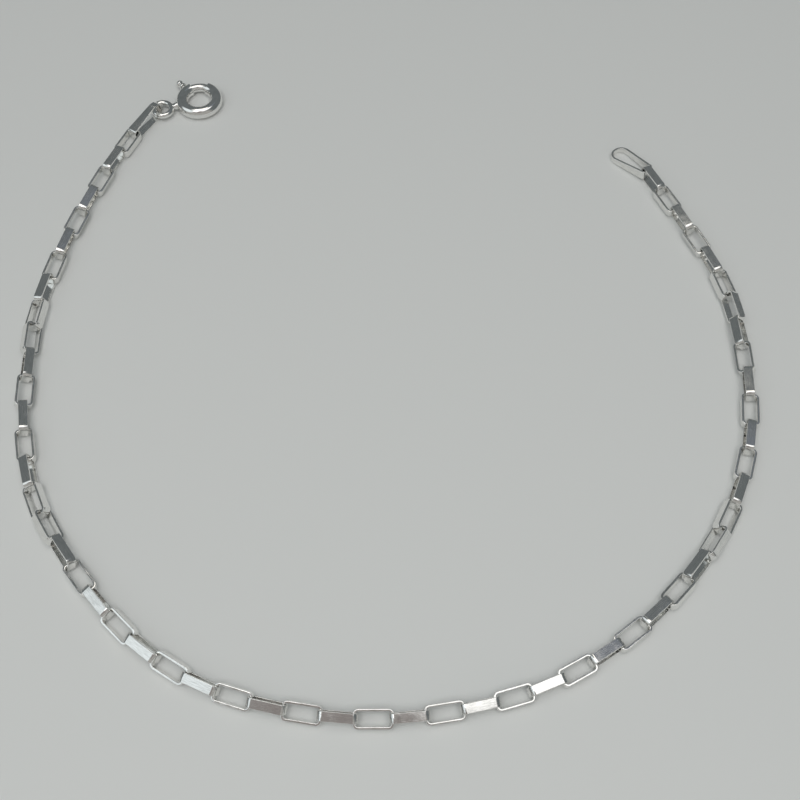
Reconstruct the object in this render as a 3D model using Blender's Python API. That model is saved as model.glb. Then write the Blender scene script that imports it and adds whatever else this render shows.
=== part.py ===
"""A fine silver chain bracelet, unfastened and lying open in a loop.

The chain is 56 flat-strip links, each turned a quarter turn from the next. A longer tapered
loop closes each end: one holds the spring ring, the other is the loop that it clips into.
"""

import math

import bmesh
import bpy
from mathutils import Matrix, Vector

MM = 0.001
QUARTER_TURN = math.radians(90)
FULL_TURN = math.radians(360)

# Chain links: a flat strip bent into a long rectangle, with its ends soldered.
LINK_COUNT = 56
LINK_INSIDE_LENGTH = 2.96 * MM
LINK_WIDTH = 1.72 * MM
LINK_CORNER_RADIUS = 0.42 * MM
STRIP_WIDTH = 0.86 * MM
STRIP_THICKNESS = 0.22 * MM
CORNER_STEPS = 2

# End loops: the same strip, cut to taper, with a round nose that points away from the chain.
END_LOOP_LENGTH = 5.00 * MM
END_LOOP_NOSE_WIDTH = 2.45 * MM
END_LOOP_CORNER_RADIUS = 0.30 * MM
END_STRIP_NOSE_WIDTH = 0.62 * MM
NOSE_ROUNDING = 0.49
NOSE_STEPS = 5
CLASP_LOOP_HEADING = math.radians(58)
CATCH_LOOP_HEADING = math.radians(135)

# Spring ring: a bent tube with an opening, closed by a sprung gate with a small knob.
RING_OUTSIDE_DIAMETER = 5.35 * MM
RING_TUBE_DIAMETER = 1.40 * MM
RING_WALL = 0.14 * MM
OPENING_START = math.radians(66)
OPENING_SWEEP = math.radians(59)
EYE_INSIDE_DIAMETER = 1.34 * MM
EYE_WIRE_DIAMETER = 0.66 * MM
EYE_DIRECTION = math.radians(202)
EYE_HOOK_DIRECTION = math.radians(226)
NECK_DIAMETER = 0.84 * MM
NECK_LENGTH = 0.30 * MM
GATE_TIP_SEAT = math.radians(5)
KNOB_DIRECTION = math.radians(136)
KNOB_DIAMETER = 0.90 * MM
KNOB_LENGTH = 1.05 * MM
STEM_DIAMETER = 0.46 * MM
GATE_TRAVEL = math.radians(34)
TUBE_SIDES = 12
TUBE_STEPS = 48
WIRE_SIDES = 10
EYE_STEPS = 24
GATE_STEPS = 18
SLOT_STEPS = 12

# The knob's turned outline from the stem outwards: shares of its length and of its radius.
KNOB_OUTLINE = [
    (0.00, 0.94),
    (0.24, 0.94),
    (0.32, 0.70),
    (0.42, 0.70),
    (0.54, 1.00),
    (0.76, 1.00),
    (0.94, 0.60),
    (1.00, 0.00),
]

# The neck's turned outline from the ring's tube to the eye's wire, in the same way.
NECK_OUTLINE = [
    (0.00, 0.00),
    (0.00, 0.84),
    (0.50, 1.00),
    (1.00, 0.60),
    (1.00, 0.00),
]

# Fits.
LINK_BITE = 0.10 * MM
LINK_SIDE_PLAY = 0.05 * MM
LOOP_END_PLAY = 0.16 * MM
LOOP_SIDE_PLAY = 0.09 * MM
EYE_PLAY = 0.38 * MM
GATE_PLAY = 0.08 * MM
SLOT_PLAY = 0.08 * MM
KNOB_PLAY = 0.16 * MM

# The way the chain lies, from the spring ring's end round to the open loop's end.
# Each row is x and y, as shares of the chain's length.
ROUTE_STEPS = 12
CHAIN_ROUTE = [
    (-0.1714, 0.1950),
    (-0.1870, 0.1545),
    (-0.2015, 0.1020),
    (-0.2095, 0.0490),
    (-0.2080, 0.0125),
    (-0.2040, -0.0230),
    (-0.1885, -0.0720),
    (-0.1580, -0.1155),
    (-0.1200, -0.1530),
    (-0.0725, -0.1770),
    (-0.0015, -0.1865),
    (0.0695, -0.1735),
    (0.1175, -0.1490),
    (0.1580, -0.1135),
    (0.1890, -0.0695),
    (0.2065, -0.0195),
    (0.2100, 0.0340),
    (0.2035, 0.0860),
    (0.1830, 0.1350),
    (0.1630, 0.1745),
]

# How far the chain is rolled over to its outer side, in degrees, at shares of its length.
# Its four quarter turns show where the upright and the flat strips change over, and along
# the front it is rolled a little further than two quarter turns.
CHAIN_LEAN = [
    (0.0000, 0),
    (0.0089, 0),
    (0.0268, 5),
    (0.0446, 11),
    (0.0625, 15),
    (0.0804, 17),
    (0.0982, 14),
    (0.1161, 6),
    (0.1339, -8),
    (0.1696, -46),
    (0.1875, -64),
    (0.2054, -73),
    (0.2232, -78),
    (0.2411, -90),
    (0.2589, -105),
    (0.3125, -162),
    (0.3304, -180),
    (0.3482, -196),
    (0.3661, -203),
    (0.3839, -207),
    (0.4018, -206),
    (0.4196, -203),
    (0.4554, -205),
    (0.4911, -201),
    (0.5089, -200),
    (0.5268, -200),
    (0.5625, -198),
    (0.5804, -195),
    (0.5982, -191),
    (0.6161, -186),
    (0.6339, -180),
    (0.6518, -179),
    (0.6696, -173),
    (0.6875, -165),
    (0.7054, -155),
    (0.7232, -137),
    (0.7589, -99),
    (0.7768, -91),
    (0.7946, -90),
    (0.8125, -88),
    (0.8304, -80),
    (0.8482, -66),
    (0.8661, -48),
    (0.9018, -10),
    (0.9196, 7),
    (0.9375, 13),
    (0.9554, 11),
    (0.9732, 5),
    (0.9911, 0),
    (1.0000, 0),
]

# Worked out from the sizes above.
LINK_PITCH = LINK_INSIDE_LENGTH + LINK_BITE
LINK_LENGTH = LINK_INSIDE_LENGTH + 2 * STRIP_THICKNESS
LINK_INSIDE_WIDTH = LINK_WIDTH - 2 * STRIP_THICKNESS
CHAIN_LENGTH = LINK_COUNT * LINK_PITCH
END_LOOP_CHAIN_WIDTH = STRIP_WIDTH + 2 * LOOP_SIDE_PLAY + 2 * STRIP_THICKNESS
END_STRIP_CHAIN_WIDTH = LINK_INSIDE_WIDTH - 2 * LOOP_SIDE_PLAY
END_LOOP_REACH = END_LOOP_LENGTH - STRIP_THICKNESS - LINK_BITE / 2 - LOOP_END_PLAY
BORE_DIAMETER = RING_TUBE_DIAMETER - 2 * RING_WALL
GATE_DIAMETER = BORE_DIAMETER - 2 * GATE_PLAY
BEND_RADIUS = (RING_OUTSIDE_DIAMETER - RING_TUBE_DIAMETER) / 2
EYE_BEND_RADIUS = (EYE_INSIDE_DIAMETER + EYE_WIRE_DIAMETER) / 2
EYE_DISTANCE = RING_OUTSIDE_DIAMETER / 2 + NECK_LENGTH + EYE_WIRE_DIAMETER / 2 + EYE_BEND_RADIUS
SLOT_WIDTH = STEM_DIAMETER + 2 * SLOT_PLAY


def material(name, colour, roughness):
    finish = bpy.data.materials.new(name)
    finish.use_nodes = True
    shader = finish.node_tree.nodes["Principled BSDF"]
    shader.inputs["Base Color"].default_value = (*colour, 1.0)
    shader.inputs["Roughness"].default_value = roughness
    shader.inputs["Metallic"].default_value = 1.0
    return finish


def direction(angle):
    return Vector((math.cos(angle), math.sin(angle), 0))


def add_frame(name, parent=None):
    frame = bpy.data.objects.new(name, None)
    bpy.context.collection.objects.link(frame)
    frame.parent = parent
    return frame


def add_object(name, mesh, frame, finish=None):
    """Turn a bmesh into a named object, shaded smooth but for its real edges."""
    bmesh.ops.recalc_face_normals(mesh, faces=mesh.faces)
    data = bpy.data.meshes.new(name)
    mesh.to_mesh(data)
    mesh.free()
    data.shade_smooth()
    data.set_sharp_from_angle(angle=math.radians(40))
    piece = bpy.data.objects.new(name, data)
    bpy.context.collection.objects.link(piece)
    piece.parent = frame
    if finish:
        data.materials.append(finish)
    return piece


def combine(piece, name, mesh, operation):
    """Join a shape to a piece or cut it out, with a helper object that isn't a piece itself."""
    helper = add_object(name, mesh, piece.parent)
    helper.hide_render = True
    helper.display_type = "WIRE"
    step = piece.modifiers.new(name, "BOOLEAN")
    step.operation = operation
    step.object = helper
    step.solver = "EXACT"


def strip_loop(length, widths, corner_radii, corner_steps, strip_widths):
    """A closed loop of flat strip, lying along X, with its opening facing along Z.

    Each pair holds the value at the loop's low-X end and at its high-X end.
    """
    mesh = bmesh.new()
    bmesh.ops.create_cube(mesh, size=1.0)
    for vertex in mesh.verts:
        end = 1 if vertex.co.x > 0 else 0
        vertex.co.x *= length
        vertex.co.y *= widths[end]
        vertex.co.z *= STRIP_WIDTH
    for end, side in enumerate((-1, 1)):
        upright = [e for e in mesh.edges if all(v.co.x * side > 0.49 * length for v in e.verts)
                   and abs(e.verts[0].co.z - e.verts[1].co.z) > 0.5 * STRIP_WIDTH]
        bmesh.ops.bevel(mesh, geom=upright, affect="EDGES", offset=corner_radii[end],
                        segments=corner_steps[end], profile=0.5, material=-1)
    mesh.normal_update()
    caps = [f for f in mesh.faces if abs(f.normal.z) > 0.9]
    bmesh.ops.inset_region(mesh, faces=caps, thickness=STRIP_THICKNESS, use_even_offset=True)
    rims = list({edge for face in caps for edge in face.edges})
    bmesh.ops.delete(mesh, geom=caps, context="FACES_ONLY")
    bmesh.ops.bridge_loops(mesh, edges=rims)
    for vertex in mesh.verts:
        share = vertex.co.x / length + 0.5
        strip = strip_widths[0] + (strip_widths[1] - strip_widths[0]) * share
        vertex.co.z = math.copysign(strip / 2, vertex.co.z)
    return mesh


def bent_rod(bend_radius, rod_diameter, start, sweep, sides, steps):
    """A round rod bent about Z, from one angle on; a whole turn closes on itself."""
    whole = sweep >= FULL_TURN
    mesh = bmesh.new()
    section = (Matrix.Rotation(start, 4, "Z") @ Matrix.Translation((bend_radius, 0, 0))
               @ Matrix.Rotation(QUARTER_TURN, 4, "X"))
    bmesh.ops.create_circle(mesh, radius=rod_diameter / 2, segments=sides, matrix=section)
    bmesh.ops.spin(mesh, geom=mesh.verts[:] + mesh.edges[:], cent=(0, 0, 0), axis=(0, 0, 1),
                   dvec=(0, 0, 0), angle=sweep, steps=steps, use_merge=whole)
    if not whole:
        bmesh.ops.holes_fill(mesh, edges=[e for e in mesh.edges if e.is_boundary], sides=0)
    return mesh


def arc_block(inner_radius, outer_radius, height, start, sweep, steps):
    """A block bent about Z, for cutting an opening or a slot out of a bent tube."""
    mesh = bmesh.new()
    middle = (inner_radius + outer_radius) / 2
    section = Matrix.Rotation(start, 4, "Z") @ Matrix.Translation((middle, 0, 0))
    section = section @ Matrix.Rotation(QUARTER_TURN, 4, "X")
    section = section @ Matrix.Diagonal((outer_radius - inner_radius, height, 1, 1))
    bmesh.ops.create_grid(mesh, x_segments=1, y_segments=1, size=0.5, matrix=section)
    bmesh.ops.delete(mesh, geom=mesh.faces[:], context="FACES_ONLY")
    bmesh.ops.spin(mesh, geom=mesh.verts[:] + mesh.edges[:], cent=(0, 0, 0), axis=(0, 0, 1),
                   dvec=(0, 0, 0), angle=sweep, steps=steps)
    bmesh.ops.holes_fill(mesh, edges=[e for e in mesh.edges if e.is_boundary], sides=0)
    return mesh


def turned(profile, heading, sides):
    """A turned shape about a line through the middle; its profile is distance and radius."""
    mesh = bmesh.new()
    points = [mesh.verts.new((distance, 0, radius)) for distance, radius in profile]
    edges = [mesh.edges.new(pair) for pair in zip(points, points[1:])]
    bmesh.ops.spin(mesh, geom=points + edges, cent=(0, 0, 0), axis=(1, 0, 0), dvec=(0, 0, 0),
                   angle=FULL_TURN, steps=sides, use_merge=True)
    bmesh.ops.remove_doubles(mesh, verts=mesh.verts[:], dist=0.001 * MM)
    bmesh.ops.rotate(mesh, verts=mesh.verts[:], cent=(0, 0, 0),
                     matrix=Matrix.Rotation(heading, 3, "Z"))
    return mesh


def smooth_route(rows, scale, steps):
    """Points along a smooth curve that passes through every row, carried on past both ends."""
    knots = [Vector((x, y, 0)) * scale for x, y in rows]
    knots.insert(0, 2 * knots[0] - knots[1])
    knots.append(2 * knots[-1] - knots[-2])
    points = []
    for a, b, c, d in zip(knots, knots[1:], knots[2:], knots[3:]):
        for step in range(steps):
            t = step / steps
            points.append(0.5 * (2 * b + (c - a) * t + (2 * a - 5 * b + 4 * c - d) * t * t
                                 + (3 * b - a - 3 * c + d) * t * t * t))
    points.append(knots[-2])
    points.append(knots[-2] + (knots[-2] - knots[-3]).normalized() * scale)
    return points


def joints_along(points, count, pitch):
    """Walk down the curve and mark where each link bears on the next, one pitch apart."""
    marks = [points[0]]
    position = 0
    while len(marks) <= count:
        here = marks[-1]
        while (points[position + 1] - here).length < pitch:
            position += 1
        low, high = points[position], points[position + 1]
        along = (high - low).normalized()
        across = here - low
        forward = across.dot(along)
        reach = math.sqrt(pitch ** 2 - (across - along * forward).length_squared)
        marks.append(low + along * (forward + reach))
    return marks


def lean_at(share):
    """The chain's roll at a share of its length, read between the rows of the table."""
    for (low, before), (high, after) in zip(CHAIN_LEAN, CHAIN_LEAN[1:]):
        if low <= share <= high:
            return math.radians(before + (after - before) * (share - low) / (high - low))


def standing_height(roll):
    """How high the middle of a link lies when it stands on the table at this roll."""
    return LINK_WIDTH / 2 * abs(math.sin(roll)) + STRIP_WIDTH / 2 * abs(math.cos(roll))


def resting_height(roll):
    """A link stands on the table itself, or is held up inside the links beside it."""
    drop = LINK_INSIDE_WIDTH / 2 - STRIP_WIDTH / 2 - LINK_SIDE_PLAY
    return max(standing_height(roll), standing_height(roll + QUARTER_TURN) - drop)


def add_chain(joints, frame, finish):
    """The whole chain in one piece: every second link is joined to the links between."""
    halves = [bmesh.new(), bmesh.new()]
    for link in range(LINK_COUNT):
        start, end = joints[link], joints[link + 1]
        heading = math.atan2(end.y - start.y, end.x - start.x)
        roll = lean_at((link + 0.5) / LINK_COUNT) + (QUARTER_TURN if link % 2 else 0)
        middle = (start + end) / 2 + Vector((0, 0, resting_height(roll)))
        blank = strip_loop(LINK_LENGTH, (LINK_WIDTH, LINK_WIDTH),
                           (LINK_CORNER_RADIUS, LINK_CORNER_RADIUS),
                           (CORNER_STEPS, CORNER_STEPS), (STRIP_WIDTH, STRIP_WIDTH))
        blank.transform(Matrix.Translation(middle) @ Matrix.Rotation(heading, 4, "Z")
                        @ Matrix.Rotation(-roll, 4, "X"))
        holder = bpy.data.meshes.new("link")
        blank.to_mesh(holder)
        blank.free()
        halves[link % 2].from_mesh(holder)
        bpy.data.meshes.remove(holder)
    chain = add_object("chain", halves[0], frame, finish)
    combine(chain, "alternate_links", halves[1], "UNION")


def add_end_loop(name, frame, finish, joint, heading, roll, pitch):
    """A tapered end loop whose chain end hooks the last link and whose nose points outwards."""
    mesh = strip_loop(END_LOOP_LENGTH, (END_LOOP_CHAIN_WIDTH, END_LOOP_NOSE_WIDTH),
                      (END_LOOP_CORNER_RADIUS, NOSE_ROUNDING * END_LOOP_NOSE_WIDTH),
                      (CORNER_STEPS, NOSE_STEPS), (END_STRIP_CHAIN_WIDTH, END_STRIP_NOSE_WIDTH))
    bmesh.ops.translate(mesh, verts=mesh.verts[:],
                        vec=(END_LOOP_REACH - END_LOOP_LENGTH / 2, 0, 0))
    loop = add_object(name, mesh, frame, finish)
    loop.location = joint
    loop.rotation_euler = (roll, pitch, heading)
    loop.location.z -= min((loop.matrix_basis @ corner.co).z for corner in loop.data.vertices)


def add_spring_ring(frame, finish):
    """The bent tube with its soldered eye, cut open for the gate and slotted for the stem."""
    tube = bent_rod(BEND_RADIUS, RING_TUBE_DIAMETER, 0, FULL_TURN, TUBE_SIDES, TUBE_STEPS)
    ring = add_object("spring_ring", tube, frame, finish)
    eye = bent_rod(EYE_BEND_RADIUS, EYE_WIRE_DIAMETER, 0, FULL_TURN, WIRE_SIDES, EYE_STEPS)
    bmesh.ops.translate(eye, verts=eye.verts[:], vec=EYE_DISTANCE * direction(EYE_DIRECTION))
    combine(ring, "ring_eye", eye, "UNION")
    span = EYE_DISTANCE - EYE_BEND_RADIUS - BEND_RADIUS
    outline = [(BEND_RADIUS + out * span, wide * NECK_DIAMETER / 2) for out, wide in NECK_OUTLINE]
    combine(ring, "ring_neck", turned(outline, EYE_DIRECTION, TUBE_SIDES), "UNION")
    bore = bent_rod(BEND_RADIUS, BORE_DIAMETER, 0, FULL_TURN, TUBE_SIDES, TUBE_STEPS)
    combine(ring, "ring_bore", bore, "DIFFERENCE")
    inner = BEND_RADIUS - RING_TUBE_DIAMETER
    outer = BEND_RADIUS + RING_TUBE_DIAMETER
    opening = arc_block(inner, outer, 2 * RING_TUBE_DIAMETER, OPENING_START, OPENING_SWEEP,
                        SLOT_STEPS)
    combine(ring, "ring_opening", opening, "DIFFERENCE")
    slot_start = OPENING_START + OPENING_SWEEP / 2
    slot_end = KNOB_DIRECTION + GATE_TRAVEL + SLOT_WIDTH / 2 / BEND_RADIUS
    slot = arc_block(BEND_RADIUS, outer, SLOT_WIDTH, slot_start, slot_end - slot_start, SLOT_STEPS)
    combine(ring, "ring_slot", slot, "DIFFERENCE")


def add_trigger(frame, finish):
    """The gate wire that slides inside the tube, with the stem and the knob that push it."""
    tip = OPENING_START - GATE_TIP_SEAT
    tail = KNOB_DIRECTION + STEM_DIAMETER / BEND_RADIUS
    wire = bent_rod(BEND_RADIUS, GATE_DIAMETER, tip, tail - tip, WIRE_SIDES, GATE_STEPS)
    gate = add_object("spring_ring_trigger", wire, frame, finish)
    start = RING_OUTSIDE_DIAMETER / 2 + KNOB_PLAY
    outline = [(BEND_RADIUS, 0), (BEND_RADIUS, STEM_DIAMETER / 2), (start, STEM_DIAMETER / 2)]
    outline += [(start + out * KNOB_LENGTH, wide * KNOB_DIAMETER / 2) for out, wide in KNOB_OUTLINE]
    combine(gate, "trigger_knob", turned(outline, KNOB_DIRECTION, TUBE_SIDES), "UNION")


def stand_at_origin(frame):
    """Bring the middle of the whole bracelet's underside to the origin."""
    bpy.context.view_layer.update()
    current = bpy.context.evaluated_depsgraph_get()
    corners = []
    for piece in bpy.data.objects:
        if piece.type == "MESH" and not piece.hide_render:
            shaped = piece.evaluated_get(current)
            corners += [shaped.matrix_world @ corner.co for corner in shaped.data.vertices]
    low = [min(corner[axis] for corner in corners) for axis in range(3)]
    high = [max(corner[axis] for corner in corners) for axis in range(3)]
    frame.location = (-(low[0] + high[0]) / 2, -(low[1] + high[1]) / 2, -low[2])


for old in list(bpy.data.objects):
    bpy.data.objects.remove(old, do_unlink=True)

bracelet = add_frame("bracelet")
silver = (0.90, 0.895, 0.875)

joints = joints_along(smooth_route(CHAIN_ROUTE, CHAIN_LENGTH, ROUTE_STEPS), LINK_COUNT, LINK_PITCH)
add_chain(joints, bracelet, material("chain_silver", silver, 0.16))

# The clasp's end loop stands on edge: its lower side, which tapers, lies flat on the table.
taper = math.atan2((END_LOOP_NOSE_WIDTH - END_LOOP_CHAIN_WIDTH) / 2, END_LOOP_LENGTH)
add_end_loop("clasp_end_loop", bracelet, material("clasp_loop_silver", silver, 0.18),
             joints[0], CLASP_LOOP_HEADING, QUARTER_TURN, -taper)

# The catch's end loop lies flat, held up by the last link, and droops to the table.
held_height = STRIP_THICKNESS + LINK_SIDE_PLAY + END_STRIP_CHAIN_WIDTH / 2
droop = math.atan2(held_height - END_STRIP_NOSE_WIDTH / 2, END_LOOP_REACH)
add_end_loop("catch_end_loop", bracelet, material("catch_loop_silver", silver, 0.18),
             joints[-1], CATCH_LOOP_HEADING, 0, droop)

# The spring ring lies flat, with its eye through the nose of the clasp's end loop.
hook = END_LOOP_REACH - STRIP_THICKNESS - EYE_PLAY - EYE_WIRE_DIAMETER / 2
clasp = add_frame("clasp", bracelet)
clasp.location = (joints[0] + hook * direction(CLASP_LOOP_HEADING)
                  - EYE_BEND_RADIUS * direction(EYE_HOOK_DIRECTION)
                  - EYE_DISTANCE * direction(EYE_DIRECTION))
clasp.location.z = RING_TUBE_DIAMETER / 2
add_spring_ring(clasp, material("ring_silver", silver, 0.12))
add_trigger(clasp, material("trigger_silver", silver, 0.14))

stand_at_origin(bracelet)
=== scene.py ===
"""A fine silver chain bracelet, unfastened and lying open in a loop on a pale table."""

import math

import bmesh
import bpy
from mathutils import Euler, Matrix, Vector


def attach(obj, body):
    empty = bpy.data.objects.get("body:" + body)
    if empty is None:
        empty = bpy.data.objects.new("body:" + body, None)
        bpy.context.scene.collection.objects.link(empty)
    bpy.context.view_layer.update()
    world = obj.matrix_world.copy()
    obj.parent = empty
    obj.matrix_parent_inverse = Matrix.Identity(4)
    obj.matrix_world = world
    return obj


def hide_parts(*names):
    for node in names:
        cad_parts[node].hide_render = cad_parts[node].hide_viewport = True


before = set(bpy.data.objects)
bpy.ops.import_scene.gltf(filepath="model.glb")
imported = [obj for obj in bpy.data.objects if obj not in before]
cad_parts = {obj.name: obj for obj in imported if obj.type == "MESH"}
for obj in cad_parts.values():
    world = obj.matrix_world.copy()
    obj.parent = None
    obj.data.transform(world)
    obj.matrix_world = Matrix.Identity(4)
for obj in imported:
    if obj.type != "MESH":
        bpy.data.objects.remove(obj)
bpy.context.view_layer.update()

# Chain links. Each is a flat strip of silver bent into a long rectangle and soldered shut, with
# the round edges that the rolling mill left. Every second link is turned a quarter turn, each
# hooks through the links beside it, and the chain keeps the curve in which it was laid down.
MM = 0.001
QUARTER_TURN = math.radians(90)
FULL_TURN = math.radians(360)
LINK_COUNT = 56
LINK_PITCH = 3.06 * MM
LINK_LENGTH = 3.52 * MM
LINK_WIDTH = 1.716 * MM
LINK_CORNER_RADIUS = 0.46 * MM
LINK_CORNER_STEPS = 6
STRIP_WIDTH = 0.86 * MM
STRIP_THICKNESS = 0.22 * MM
STRIP_EDGE_RADIUS = 0.038 * MM
STRIP_EDGE_STEPS = 3
LINK_SIDE_PLAY = 0.05 * MM
NEXT_LINK_TONE = 0.618
CHAIN_LENGTH = LINK_COUNT * LINK_PITCH

# The way that the chain lies, from the spring ring's end on, as shares of the chain's length, and
# where the middle of that drawing lies in the frame.
CHAIN_PLACE = Vector((-0.0317, -4.3888, 0)) * MM
ROUTE_STEPS = 12
CHAIN_ROUTE = [
    (-0.1714, 0.1950), (-0.1870, 0.1545), (-0.2015, 0.1020), (-0.2095, 0.0490),
    (-0.2080, 0.0125), (-0.2040, -0.0230), (-0.1885, -0.0720), (-0.1580, -0.1155),
    (-0.1200, -0.1530), (-0.0725, -0.1770), (-0.0015, -0.1865), (0.0695, -0.1735),
    (0.1175, -0.1490), (0.1580, -0.1135), (0.1890, -0.0695), (0.2065, -0.0195),
    (0.2100, 0.0340), (0.2035, 0.0860), (0.1830, 0.1350), (0.1630, 0.1745),
]

# How far the chain is rolled over to its outer side, in degrees, at shares of its length: its two
# ends and the middles of links. A link with no row lies on a straight line between two rows.
CHAIN_LEAN = [
    (0.0000, 0), (0.0089, 0), (0.0268, 5), (0.0446, 11), (0.0625, 15),
    (0.0804, 17), (0.0982, 14), (0.1161, 6), (0.1339, -8), (0.1696, -46),
    (0.1875, -64), (0.2054, -73), (0.2232, -78), (0.2411, -90), (0.2589, -105),
    (0.3125, -162), (0.3304, -180), (0.3482, -196), (0.3661, -203), (0.3839, -207),
    (0.4018, -206), (0.4196, -203), (0.4554, -205), (0.4911, -201), (0.5089, -200),
    (0.5268, -200), (0.5625, -198), (0.5804, -195), (0.5982, -191), (0.6161, -186),
    (0.6339, -180), (0.6518, -179), (0.6696, -173), (0.6875, -165), (0.7054, -155),
    (0.7232, -137), (0.7589, -99), (0.7768, -91), (0.7946, -90), (0.8125, -88),
    (0.8304, -80), (0.8482, -66), (0.8661, -48), (0.9018, -10), (0.9196, 7),
    (0.9375, 13), (0.9554, 11), (0.9732, 5), (0.9911, 0), (1.0000, 0),
]


# Polished sterling silver, the greyer tone of a scratched strip, how close the marks lie, and how
# far they shift from piece to piece, so that no two links have the same ones.
SILVER = (0.93, 0.925, 0.905)
WORN_STRIP = (0.74, 0.735, 0.715)
DENTS_PER_METRE = 900.0
SCRATCHES_PER_MM = (1.6, 17.0, 1.0)
MARKS_SHIFT = 40.0


def silver_finish(name, roughness, dent_depth, scratch_depth, worn):
    """Polished sterling silver: bright, a little uneven, with fine scratches from wear."""
    finish = bpy.data.materials.new(name)
    finish.use_nodes = True
    nodes, links = finish.node_tree.nodes, finish.node_tree.links
    shader = nodes["Principled BSDF"]
    shader.inputs["Metallic"].default_value = 1.0
    place = nodes.new("ShaderNodeTexCoord")
    tone = nodes.new("ShaderNodeAttribute")
    tone.attribute_name = "piece_tone"
    shift = nodes.new("ShaderNodeMath")
    shift.operation = "MULTIPLY"
    shift.inputs[1].default_value = MARKS_SHIFT
    links.new(tone.outputs["Fac"], shift.inputs[0])

    # Shallow dents, a few to a link, which break the reflections into patches.
    dents = nodes.new("ShaderNodeTexNoise")
    dents.noise_dimensions = "4D"
    dents.inputs["Scale"].default_value = DENTS_PER_METRE
    dents.inputs["Detail"].default_value = 2.0
    links.new(place.outputs["Object"], dents.inputs["Vector"])
    links.new(shift.outputs[0], dents.inputs["W"])

    # Fine scratches that run along the strip.
    strip = nodes.new("ShaderNodeUVMap")
    strip.uv_map = "along_strip"
    stretch = nodes.new("ShaderNodeMapping")
    stretch.inputs["Scale"].default_value = SCRATCHES_PER_MM
    links.new(strip.outputs["UV"], stretch.inputs["Vector"])
    scratches = nodes.new("ShaderNodeTexNoise")
    scratches.noise_dimensions = "4D"
    scratches.inputs["Scale"].default_value = 1.0
    scratches.inputs["Detail"].default_value = 3.0
    links.new(stretch.outputs["Vector"], scratches.inputs["Vector"])
    links.new(shift.outputs[0], scratches.inputs["W"])

    # Roughness drifts with the handling, patch by patch with the dents.
    drift = nodes.new("ShaderNodeMapRange")
    drift.inputs["From Min"].default_value = 0.30
    drift.inputs["From Max"].default_value = 0.70
    drift.inputs["To Min"].default_value = roughness[0]
    drift.inputs["To Max"].default_value = roughness[1]
    links.new(dents.outputs["Fac"], drift.inputs["Value"])
    links.new(drift.outputs["Result"], shader.inputs["Roughness"])

    # Colour: bright silver, greyer where the scratches are dense.
    shade = nodes.new("ShaderNodeMapRange")
    shade.inputs["From Min"].default_value = 0.42
    shade.inputs["From Max"].default_value = 0.72
    links.new(scratches.outputs["Fac"], shade.inputs["Value"])
    colour = nodes.new("ShaderNodeMix")
    colour.data_type = "RGBA"
    colour.inputs["A"].default_value = (*SILVER, 1.0)
    colour.inputs["B"].default_value = (*worn, 1.0)
    links.new(shade.outputs["Result"], colour.inputs["Factor"])
    links.new(colour.outputs["Result"], shader.inputs["Base Color"])

    # The scratches lie on top of the dents.
    broad = nodes.new("ShaderNodeBump")
    broad.inputs["Strength"].default_value = 1.0
    broad.inputs["Distance"].default_value = dent_depth
    links.new(dents.outputs["Fac"], broad.inputs["Height"])
    fine = nodes.new("ShaderNodeBump")
    fine.inputs["Strength"].default_value = 1.0
    fine.inputs["Distance"].default_value = scratch_depth
    links.new(scratches.outputs["Fac"], fine.inputs["Height"])
    links.new(broad.outputs["Normal"], fine.inputs["Normal"])
    links.new(fine.outputs["Normal"], shader.inputs["Normal"])
    return finish


def strip_loop(length, widths, corner_radii, corner_steps, strip_widths, tone):
    """A closed loop of flat strip with round edges, lying along X, its opening facing along Z.

    Each pair holds the value at the loop's low-X end and at its high-X end.
    """
    mesh = bmesh.new()
    bmesh.ops.create_cube(mesh, size=1.0)
    for vertex in mesh.verts:
        end = 1 if vertex.co.x > 0 else 0
        vertex.co.x *= length
        vertex.co.y *= widths[end]
        vertex.co.z *= STRIP_WIDTH

    # The block's upright edges become the loop's round corners.
    for end, side in enumerate((-1, 1)):
        upright = [e for e in mesh.edges if all(v.co.x * side > 0.49 * length for v in e.verts)
                   and abs(e.verts[0].co.z - e.verts[1].co.z) > 0.5 * STRIP_WIDTH]
        bmesh.ops.bevel(mesh, geom=upright, affect="EDGES", offset=corner_radii[end],
                        segments=corner_steps[end], profile=0.5, material=-1)

    # Its top and bottom are inset by the strip's thickness and joined through, which leaves the
    # strip, and that is then brought to its own width at each end.
    mesh.normal_update()
    caps = [f for f in mesh.faces if abs(f.normal.z) > 0.9]
    bmesh.ops.inset_region(mesh, faces=caps, thickness=STRIP_THICKNESS, use_even_offset=True)
    rims = list({edge for face in caps for edge in face.edges})
    bmesh.ops.delete(mesh, geom=caps, context="FACES_ONLY")
    bmesh.ops.bridge_loops(mesh, edges=rims)
    for vertex in mesh.verts:
        share = vertex.co.x / length + 0.5
        strip = strip_widths[0] + (strip_widths[1] - strip_widths[0]) * share
        vertex.co.z = math.copysign(strip / 2, vertex.co.z)
    bmesh.ops.recalc_face_normals(mesh, faces=mesh.faces)

    # Its four lips get the mill's round edge.
    mesh.normal_update()
    lips = [e for e in mesh.edges if len(e.link_faces) == 2
            and (abs(e.link_faces[0].normal.z) > 0.7) != (abs(e.link_faces[1].normal.z) > 0.7)]
    bmesh.ops.bevel(mesh, geom=lips, affect="EDGES", offset=STRIP_EDGE_RADIUS,
                    segments=STRIP_EDGE_STEPS, profile=0.5, material=-1)

    # Scratches run along the strip, down its long sides and across its ends.
    along = mesh.loops.layers.uv.new("along_strip")
    shade = mesh.verts.layers.float.new("piece_tone")
    for face in mesh.faces:
        middle = face.calc_center_median()
        on_side = abs(middle.x) < length / 2 - max(corner_radii)
        for corner in face.loops:
            spot = corner.vert.co
            run = spot.x if on_side else spot.y
            corner[along].uv = (run / MM, spot.z / MM)
    for vertex in mesh.verts:
        vertex[shade] = tone
    return mesh


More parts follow.
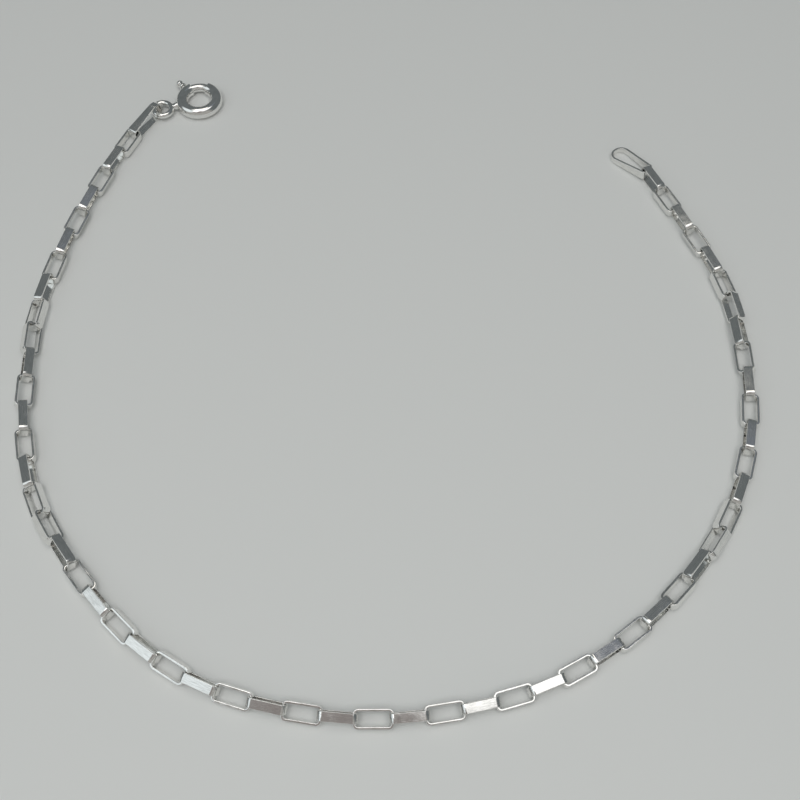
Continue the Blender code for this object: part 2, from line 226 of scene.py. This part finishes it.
# Edges that turn by more than this stay crisp.
SHARP_EDGE_ANGLE = math.radians(50)


def add_piece(name, mesh, finish, body, node):
    """Make a named piece from a bmesh, smooth but for its real edges, in place of a CAD node."""
    bmesh.ops.recalc_face_normals(mesh, faces=mesh.faces)
    data = bpy.data.meshes.new(name)
    mesh.to_mesh(data)
    mesh.free()
    data.shade_smooth()
    data.set_sharp_from_angle(angle=SHARP_EDGE_ANGLE)
    data.materials.append(finish)
    piece = bpy.data.objects.new(name, data)
    bpy.context.scene.collection.objects.link(piece)

    # Broad faces mirror as flat as the rolled strip, and only their round edges turn the light.
    weighing = piece.modifiers.new("weighing", "WEIGHTED_NORMAL")
    weighing.weight = 100
    weighing.keep_sharp = True
    bpy.context.view_layer.update()
    weighed = piece.evaluated_get(bpy.context.evaluated_depsgraph_get())
    piece.data = bpy.data.meshes.new_from_object(weighed)
    piece.modifiers.clear()
    bpy.data.meshes.remove(data)
    piece.data.name = name
    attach(piece, body)
    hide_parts(node)


def smooth_route(rows, scale, steps):
    """Points along a smooth curve that passes through every row, carried on a little past the last
    row.
    """
    knots = [Vector((x, y, 0)) * scale for x, y in rows]
    knots.insert(0, 2 * knots[0] - knots[1])
    knots.append(2 * knots[-1] - knots[-2])
    points = []
    for a, b, c, d in zip(knots, knots[1:], knots[2:], knots[3:]):
        for step in range(steps):
            t = step / steps
            points.append(0.5 * (2 * b + (c - a) * t + (2 * a - 5 * b + 4 * c - d) * t * t
                                 + (3 * b - a - 3 * c + d) * t * t * t))
    points.append(knots[-2])
    points.append(knots[-2] + (knots[-2] - knots[-3]).normalized() * scale)
    return points


def joints_along(points, count, pitch):
    """Walk down the curve and mark where each link bears on the next, one pitch apart."""
    marks = [points[0]]
    position = 0
    while len(marks) <= count:
        here = marks[-1]
        while (points[position + 1] - here).length < pitch:
            position += 1
        low, high = points[position], points[position + 1]
        along = (high - low).normalized()
        across = here - low
        forward = across.dot(along)
        reach = math.sqrt(pitch ** 2 - (across - along * forward).length_squared)
        marks.append(low + along * (forward + reach))
    return marks


def lean_at(share):
    """The chain's roll at a share of its length, read between the rows of the table."""
    for (low, before), (high, after) in zip(CHAIN_LEAN, CHAIN_LEAN[1:]):
        if low <= share <= high:
            return math.radians(before + (after - before) * (share - low) / (high - low))


def standing_height(roll):
    """How high the middle of a link lies when it stands on the table at this roll."""
    return LINK_WIDTH / 2 * abs(math.sin(roll)) + STRIP_WIDTH / 2 * abs(math.cos(roll))


def resting_height(roll):
    """A link stands on the table itself, or is held up inside the links beside it."""
    drop = LINK_WIDTH / 2 - STRIP_THICKNESS - STRIP_WIDTH / 2 - LINK_SIDE_PLAY
    return max(standing_height(roll), standing_height(roll + QUARTER_TURN) - drop)


joints = [CHAIN_PLACE + mark
          for mark in joints_along(smooth_route(CHAIN_ROUTE, CHAIN_LENGTH, ROUTE_STEPS),
                                   LINK_COUNT, LINK_PITCH)]
chain = bmesh.new()
for link in range(LINK_COUNT):
    start, end = joints[link], joints[link + 1]
    heading = math.atan2(end.y - start.y, end.x - start.x)
    roll = lean_at((link + 0.5) / LINK_COUNT) + (QUARTER_TURN if link % 2 else 0)
    middle = (start + end) / 2 + Vector((0, 0, resting_height(roll)))
    blank = strip_loop(LINK_LENGTH, (LINK_WIDTH, LINK_WIDTH),
                       (LINK_CORNER_RADIUS, LINK_CORNER_RADIUS),
                       (LINK_CORNER_STEPS, LINK_CORNER_STEPS),
                       (STRIP_WIDTH, STRIP_WIDTH), link * NEXT_LINK_TONE % 1.0)
    blank.transform(Matrix.Translation(middle) @ Matrix.Rotation(heading, 4, "Z")
                    @ Matrix.Rotation(-roll, 4, "X"))
    holder = bpy.data.meshes.new("link")
    blank.to_mesh(holder)
    blank.free()
    chain.from_mesh(holder)
    bpy.data.meshes.remove(holder)
add_piece("chain_links", chain,
          silver_finish("chain_silver_worn", (0.07, 0.19), 0.015 * MM, 0.0026 * MM, WORN_STRIP),
          "bracelet", "chain")

# End loops. Each is a length of the same strip, cut to taper and bent into a loop with a round
# nose. One stands on edge and holds the spring ring's eye, and the other lies flat, with its
# chain end held up by the last link and its nose on the table.
END_LOOP_LENGTH = 5.00 * MM
END_LOOP_NOSE_WIDTH = 2.436 * MM
END_LOOP_CORNER_RADIUS = 0.30 * MM
END_LOOP_CORNER_STEPS = 5
END_STRIP_NOSE_WIDTH = 0.62 * MM
NOSE_ROUNDING = 0.49
NOSE_STEPS = 14
LINK_BITE = 0.10 * MM
LOOP_END_PLAY = 0.16 * MM
LOOP_SIDE_PLAY = 0.09 * MM
CLASP_LOOP_HEADING = math.radians(58)
CATCH_LOOP_HEADING = math.radians(135)
END_LOOP_CHAIN_WIDTH = STRIP_WIDTH + 2 * LOOP_SIDE_PLAY + 2 * STRIP_THICKNESS
END_STRIP_CHAIN_WIDTH = LINK_WIDTH - 2 * STRIP_THICKNESS - 2 * LOOP_SIDE_PLAY
END_LOOP_REACH = END_LOOP_LENGTH - STRIP_THICKNESS - LINK_BITE / 2 - LOOP_END_PLAY


def add_end_loop(name, node, slot_name, joint, heading, roll, pitch, tone):
    """A tapered end loop whose chain end hooks the last link and whose nose points outwards."""
    mesh = strip_loop(END_LOOP_LENGTH, (END_LOOP_CHAIN_WIDTH, END_LOOP_NOSE_WIDTH),
                      (END_LOOP_CORNER_RADIUS, NOSE_ROUNDING * END_LOOP_NOSE_WIDTH),
                      (END_LOOP_CORNER_STEPS, NOSE_STEPS),
                      (END_STRIP_CHAIN_WIDTH, END_STRIP_NOSE_WIDTH), tone)
    mesh.transform(Matrix.Translation(joint) @ Euler((roll, pitch, heading)).to_matrix().to_4x4()
                   @ Matrix.Translation((END_LOOP_REACH - END_LOOP_LENGTH / 2, 0, 0)))
    lowest = min(vertex.co.z for vertex in mesh.verts)
    bmesh.ops.translate(mesh, verts=mesh.verts[:], vec=(0, 0, -lowest))
    finish = silver_finish(slot_name + "_worn", (0.08, 0.22), 0.026 * MM, 0.0026 * MM, WORN_STRIP)
    add_piece(name, mesh, finish, "bracelet", node)


taper = math.atan2((END_LOOP_NOSE_WIDTH - END_LOOP_CHAIN_WIDTH) / 2, END_LOOP_LENGTH)
add_end_loop("clasp_end_strip", "clasp_end_loop", "clasp_loop_silver", joints[0],
             CLASP_LOOP_HEADING, QUARTER_TURN, -taper, tone=0.31)
held_height = STRIP_THICKNESS + LINK_SIDE_PLAY + END_STRIP_CHAIN_WIDTH / 2
droop = math.atan2(held_height - END_STRIP_NOSE_WIDTH / 2, END_LOOP_REACH)
add_end_loop("catch_end_strip", "catch_end_loop", "catch_loop_silver", joints[-1],
             CATCH_LOOP_HEADING, 0, droop, tone=0.77)

# Spring ring. Thin silver tube is bent into a ring, cut open for the gate and slotted along its
# outside for the gate's stem. A turned neck joins it to a ring of round wire, its eye, which is
# soldered shut round the nose of the end loop.
RING_OUTSIDE_DIAMETER = 5.35 * MM
RING_TUBE_DIAMETER = 1.40 * MM
RING_WALL = 0.14 * MM
OPENING_START = math.radians(66)
OPENING_SWEEP = math.radians(59)
EYE_INSIDE_DIAMETER = 1.34 * MM
EYE_WIRE_DIAMETER = 0.66 * MM
EYE_DIRECTION = math.radians(202)
EYE_HOOK_DIRECTION = math.radians(226)
EYE_PLAY = 0.38 * MM
NECK_DIAMETER = 0.84 * MM
NECK_LENGTH = 0.30 * MM
KNOB_DIRECTION = math.radians(136)
STEM_DIAMETER = 0.46 * MM
SLOT_PLAY = 0.08 * MM
GATE_TRAVEL = math.radians(34)
WORN_WIRE = (0.80, 0.795, 0.775)
BEND_RADIUS = (RING_OUTSIDE_DIAMETER - RING_TUBE_DIAMETER) / 2
BORE_DIAMETER = RING_TUBE_DIAMETER - 2 * RING_WALL
EYE_BEND_RADIUS = (EYE_INSIDE_DIAMETER + EYE_WIRE_DIAMETER) / 2
EYE_DISTANCE = RING_OUTSIDE_DIAMETER / 2 + NECK_LENGTH + EYE_WIRE_DIAMETER / 2 + EYE_BEND_RADIUS
SLOT_WIDTH = STEM_DIAMETER + 2 * SLOT_PLAY

# The neck's turned outline from the ring's tube to the eye's wire: shares of length and radius.
NECK_OUTLINE = [(0.00, 0.00), (0.00, 0.84), (0.22, 0.90), (0.38, 0.98), (0.50, 1.00),
                (0.62, 0.98), (0.78, 0.86), (0.92, 0.70), (1.00, 0.60), (1.00, 0.00)]


def direction(angle):
    """The level direction at this angle round from +X."""
    return Vector((math.cos(angle), math.sin(angle), 0))


def bent_rod(bend_radius, rod_diameter, start, sweep, sides, steps):
    """A round rod bent about Z, from one angle on; a whole turn closes on itself."""
    whole = sweep >= FULL_TURN
    mesh = bmesh.new()
    section = (Matrix.Rotation(start, 4, "Z") @ Matrix.Translation((bend_radius, 0, 0))
               @ Matrix.Rotation(QUARTER_TURN, 4, "X"))
    bmesh.ops.create_circle(mesh, radius=rod_diameter / 2, segments=sides, matrix=section)
    bmesh.ops.spin(mesh, geom=mesh.verts[:] + mesh.edges[:], cent=(0, 0, 0), axis=(0, 0, 1),
                   dvec=(0, 0, 0), angle=sweep, steps=steps, use_merge=whole)
    if not whole:
        bmesh.ops.holes_fill(mesh, edges=[e for e in mesh.edges if e.is_boundary], sides=0)
    return mesh


def arc_block(inner_radius, outer_radius, height, start, sweep, steps):
    """A block bent about Z, for cutting an opening or a slot out of a bent tube."""
    mesh = bmesh.new()
    middle = (inner_radius + outer_radius) / 2
    section = Matrix.Rotation(start, 4, "Z") @ Matrix.Translation((middle, 0, 0))
    section = section @ Matrix.Rotation(QUARTER_TURN, 4, "X")
    section = section @ Matrix.Diagonal((outer_radius - inner_radius, height, 1, 1))
    bmesh.ops.create_grid(mesh, x_segments=1, y_segments=1, size=0.5, matrix=section)
    bmesh.ops.delete(mesh, geom=mesh.faces[:], context="FACES_ONLY")
    bmesh.ops.spin(mesh, geom=mesh.verts[:] + mesh.edges[:], cent=(0, 0, 0), axis=(0, 0, 1),
                   dvec=(0, 0, 0), angle=sweep, steps=steps)
    bmesh.ops.holes_fill(mesh, edges=[e for e in mesh.edges if e.is_boundary], sides=0)
    return mesh


def turned(profile, heading, sides):
    """A turned shape about a line through the middle; its profile is distance and radius."""
    mesh = bmesh.new()
    points = [mesh.verts.new((distance, 0, radius)) for distance, radius in profile]
    edges = [mesh.edges.new(pair) for pair in zip(points, points[1:])]
    bmesh.ops.spin(mesh, geom=points + edges, cent=(0, 0, 0), axis=(1, 0, 0), dvec=(0, 0, 0),
                   angle=FULL_TURN, steps=sides, use_merge=True)
    bmesh.ops.remove_doubles(mesh, verts=mesh.verts[:], dist=0.001 * MM)
    bmesh.ops.rotate(mesh, verts=mesh.verts[:], cent=(0, 0, 0),
                     matrix=Matrix.Rotation(heading, 3, "Z"))
    return mesh


def joined_and_cut(first, steps):
    """The shape that comes of joining shapes to the first, or cutting them out, one by one."""
    made = []
    for mesh in [first] + [step[1] for step in steps]:
        bmesh.ops.recalc_face_normals(mesh, faces=mesh.faces)
        data = bpy.data.meshes.new("stock")
        mesh.to_mesh(data)
        mesh.free()
        stock = bpy.data.objects.new("stock", data)
        bpy.context.scene.collection.objects.link(stock)
        made.append(stock)
    for (operation, _), stock in zip(steps, made[1:]):
        cut = made[0].modifiers.new("cut", "BOOLEAN")
        cut.operation = operation
        cut.object = stock
        cut.solver = "EXACT"
    bpy.context.view_layer.update()
    shaped = made[0].evaluated_get(bpy.context.evaluated_depsgraph_get())
    mesh = bmesh.new()
    mesh.from_mesh(shaped.data)
    for stock in made:
        data = stock.data
        bpy.data.objects.remove(stock)
        bpy.data.meshes.remove(data)
    return mesh


def wrap_round(mesh, seam, tone):
    """Give a bent piece the same marks as the strip: a run round it from a seam, and a tone."""
    along = mesh.loops.layers.uv.new("along_strip")
    shade = mesh.verts.layers.float.new("piece_tone")
    for face in mesh.faces:
        for corner in face.loops:
            spot = corner.vert.co
            turn = (math.atan2(spot.y, spot.x) - seam) % FULL_TURN
            corner[along].uv = (turn * BEND_RADIUS / MM, spot.z / MM)
    for vertex in mesh.verts:
        vertex[shade] = tone


# The eye's wire hangs in the nose of the clasp's end loop, and the ring lies on the table beyond.
hook = END_LOOP_REACH - STRIP_THICKNESS - EYE_PLAY - EYE_WIRE_DIAMETER / 2
ring_place = (joints[0] + hook * direction(CLASP_LOOP_HEADING)
              - EYE_BEND_RADIUS * direction(EYE_HOOK_DIRECTION)
              - EYE_DISTANCE * direction(EYE_DIRECTION) + Vector((0, 0, RING_TUBE_DIAMETER / 2)))
eye = bent_rod(EYE_BEND_RADIUS, EYE_WIRE_DIAMETER, 0, FULL_TURN, sides=24, steps=56)
bmesh.ops.translate(eye, verts=eye.verts[:], vec=EYE_DISTANCE * direction(EYE_DIRECTION))
span = EYE_DISTANCE - EYE_BEND_RADIUS - BEND_RADIUS
neck = turned([(BEND_RADIUS + out * span, wide * NECK_DIAMETER / 2)
               for out, wide in NECK_OUTLINE], EYE_DIRECTION, sides=32)
inner, outer = BEND_RADIUS - RING_TUBE_DIAMETER, BEND_RADIUS + RING_TUBE_DIAMETER

# The slot runs from the middle of the opening to where the gate's stem ends its travel.
slot_start = OPENING_START + OPENING_SWEEP / 2
slot_end = KNOB_DIRECTION + GATE_TRAVEL + SLOT_WIDTH / 2 / BEND_RADIUS
ring = joined_and_cut(
    bent_rod(BEND_RADIUS, RING_TUBE_DIAMETER, 0, FULL_TURN, sides=36, steps=120),
    [("UNION", eye), ("UNION", neck),
     ("DIFFERENCE", bent_rod(BEND_RADIUS, BORE_DIAMETER, 0, FULL_TURN, sides=24, steps=96)),
     ("DIFFERENCE", arc_block(inner, outer, 2 * RING_TUBE_DIAMETER, OPENING_START,
                              OPENING_SWEEP, steps=24)),
     ("DIFFERENCE", arc_block(BEND_RADIUS, outer, SLOT_WIDTH, slot_start,
                              slot_end - slot_start, steps=32))])
wrap_round(ring, slot_start, tone=0.13)
bmesh.ops.translate(ring, verts=ring.verts[:], vec=ring_place)
add_piece("spring_ring_tube", ring,
          silver_finish("ring_silver_worn", (0.05, 0.13), 0.010 * MM, 0.0012 * MM, WORN_WIRE),
          "bracelet", "spring_ring")

# Trigger. A bent silver wire slides inside the tube and shuts its opening. A stem through the
# slot carries a small turned knob, by which the wire is pulled back against its coil spring.
GATE_PLAY = 0.08 * MM
GATE_TIP_SEAT = math.radians(5)
KNOB_DIAMETER = 0.88 * MM
KNOB_LENGTH = 1.05 * MM
KNOB_PLAY = 0.16 * MM
GATE_DIAMETER = BORE_DIAMETER - 2 * GATE_PLAY

# The knob's turned outline from the stem outwards: shares of its length and of its radius.
KNOB_OUTLINE = [(0.00, 0.86), (0.03, 0.94), (0.21, 0.94), (0.26, 0.88), (0.32, 0.72), (0.37, 0.68),
                (0.42, 0.72), (0.47, 0.86), (0.55, 0.97), (0.65, 1.00), (0.75, 0.96), (0.84, 0.84),
                (0.92, 0.62), (0.97, 0.36), (1.00, 0.00)]

tip = OPENING_START - GATE_TIP_SEAT
tail = KNOB_DIRECTION + STEM_DIAMETER / BEND_RADIUS
knob_start = RING_OUTSIDE_DIAMETER / 2 + KNOB_PLAY
outline = [(BEND_RADIUS, 0), (BEND_RADIUS, STEM_DIAMETER / 2), (knob_start, STEM_DIAMETER / 2)]
outline += [(knob_start + out * KNOB_LENGTH, wide * KNOB_DIAMETER / 2)
            for out, wide in KNOB_OUTLINE]
gate = bent_rod(BEND_RADIUS, GATE_DIAMETER, tip, tail - tip, sides=28, steps=48)
trigger = joined_and_cut(gate, [("UNION", turned(outline, KNOB_DIRECTION, sides=32))])
wrap_round(trigger, -QUARTER_TURN, tone=0.58)
bmesh.ops.translate(trigger, verts=trigger.verts[:], vec=ring_place)
add_piece("trigger_wire_and_knob", trigger,
          silver_finish("trigger_silver_worn", (0.05, 0.15), 0.008 * MM, 0.0014 * MM, WORN_WIRE),
          "trigger", "spring_ring_trigger")

# Table. A plain pale surface that reaches far past the bracelet on every side. It is matt, so the
# silver has an even tone to mirror.
TABLE_RADIUS = 1.5
TABLE_SIDES = 96
TABLE_COLOUR = (0.70, 0.712, 0.702)
table_mesh = bmesh.new()
bmesh.ops.create_circle(table_mesh, cap_ends=True, radius=TABLE_RADIUS, segments=TABLE_SIDES)
table_data = bpy.data.meshes.new("table")
table_mesh.to_mesh(table_data)
table_mesh.free()
table = bpy.data.objects.new("table", table_data)
bpy.context.scene.collection.objects.link(table)
pale = bpy.data.materials.new("table_pale")
pale.use_nodes = True
pale_shader = pale.node_tree.nodes["Principled BSDF"]
pale_shader.inputs["Base Color"].default_value = (*TABLE_COLOUR, 1.0)
pale_shader.inputs["Roughness"].default_value = 0.85
pale_shader.inputs["Specular IOR Level"].default_value = 0.2
table_data.materials.append(pale)

# Studio light. A dim slate-grey room with soft bright patches overhead and on the left, and duller
# ones behind the camera. One soft box lights the table, and a small one shines on the clasp.
ROOM_GREY = (0.130, 0.143, 0.146)

# Patches of the room: colour, azimuth and elevation of the middle, and the angles from the middle
# at which the patch starts to fade and has faded, all in degrees.
ROOM_PATCHES = [
    ((0.36, 0.355, 0.34), (180, 8), 48, 72),
    ((1.35, 1.35, 1.33), (117, 86), 16, 26),
    ((0.80, 0.86, 0.88), (-114, 46), 14, 27),
    ((0.245, 0.226, 0.218), (-170, 57), 14, 19),
    ((0.175, 0.192, 0.220), (28, 65), 7, 11),
    ((1.60, 1.55, 1.45), (-12, 72), 7, 10),
]
world = bpy.data.worlds.new("studio")
bpy.context.scene.world = world
world.use_nodes = True
sky, sky_links = world.node_tree.nodes, world.node_tree.links
sky_light = sky["Background"]
aim = sky.new("ShaderNodeTexCoord")


def toward(azimuth, elevation):
    """The direction at this azimuth, 0 behind the bracelet as the camera sees it, and height."""
    a, e = math.radians(azimuth), math.radians(elevation)
    return Vector((math.sin(a) * math.cos(e), math.cos(a) * math.cos(e), math.sin(e)))


def blend_sky(colour, new_colour, centre, inner, outer):
    """Lay a round patch over the sky, full out to the inner angle and faded at the outer one."""
    near = sky.new("ShaderNodeVectorMath")
    near.operation = "DOT_PRODUCT"
    near.inputs[1].default_value = toward(*centre)
    sky_links.new(aim.outputs["Generated"], near.inputs[0])
    soft = sky.new("ShaderNodeMapRange")
    soft.interpolation_type = "SMOOTHSTEP"
    soft.inputs["From Min"].default_value = math.cos(math.radians(outer))
    soft.inputs["From Max"].default_value = math.cos(math.radians(inner))
    sky_links.new(near.outputs["Value"], soft.inputs["Value"])
    patch = sky.new("ShaderNodeMix")
    patch.data_type = "RGBA"
    patch.inputs["B"].default_value = (*new_colour, 1.0)
    sky_links.new(soft.outputs["Result"], patch.inputs["Factor"])
    if isinstance(colour, tuple):
        patch.inputs["A"].default_value = (*colour, 1.0)
    else:
        sky_links.new(colour, patch.inputs["A"])
    return patch.outputs["Result"]


room = ROOM_GREY
for patch_colour, patch_centre, fade_start, fade_end in ROOM_PATCHES:
    room = blend_sky(room, patch_colour, patch_centre, fade_start, fade_end)
sky_links.new(room, sky_light.inputs["Color"])
sky_light.inputs["Strength"].default_value = 1.0


def soft_box(name, azimuth, elevation, distance, size, brightness, colour, mirrored):
    """A soft light aimed at the bracelet, that the silver mirrors or not."""
    out = toward(azimuth, elevation)
    data = bpy.data.lights.new(name, "AREA")
    data.shape = "RECTANGLE"
    data.size, data.size_y = size
    data.energy = brightness * math.pi * size[0] * size[1]
    data.color = colour
    light = bpy.data.objects.new(name, data)
    light.visible_glossy = mirrored
    light.matrix_world = (Matrix.Translation(out * distance)
                          @ out.to_track_quat("Z", "Y").to_matrix().to_4x4())
    bpy.context.scene.collection.objects.link(light)


soft_box("table_box", 180, 64, 0.3, (0.22, 0.16), 2.6, (1.0, 0.995, 0.98), mirrored=False)
soft_box("clasp_box", -134, 67, 0.27, (0.085, 0.085), 1.4, (1.0, 1.0, 0.99), mirrored=True)
bpy.context.scene.view_settings.view_transform = "Standard"

# Camera. It is above and in front of the bracelet, looks down at it, and is turned a little about
# its own line of sight.
CAMERA_FROM_CHAIN = Vector((1.393, -60.401, 102.25)) * MM
CAMERA_TILT = math.radians(30.6)
CAMERA_TWIST = math.radians(1.81)
CAMERA_LENS = 54.0
camera_data = bpy.data.cameras.new("camera")
camera_data.lens = CAMERA_LENS
camera_data.sensor_width = 36.0
camera_data.clip_start = 0.01
camera = bpy.data.objects.new("camera", camera_data)
camera.matrix_world = (Matrix.Translation(CHAIN_PLACE + CAMERA_FROM_CHAIN)
                       @ Matrix.Rotation(CAMERA_TILT, 4, "X")
                       @ Matrix.Rotation(CAMERA_TWIST, 4, "Z"))
bpy.context.scene.collection.objects.link(camera)
bpy.context.scene.camera = camera
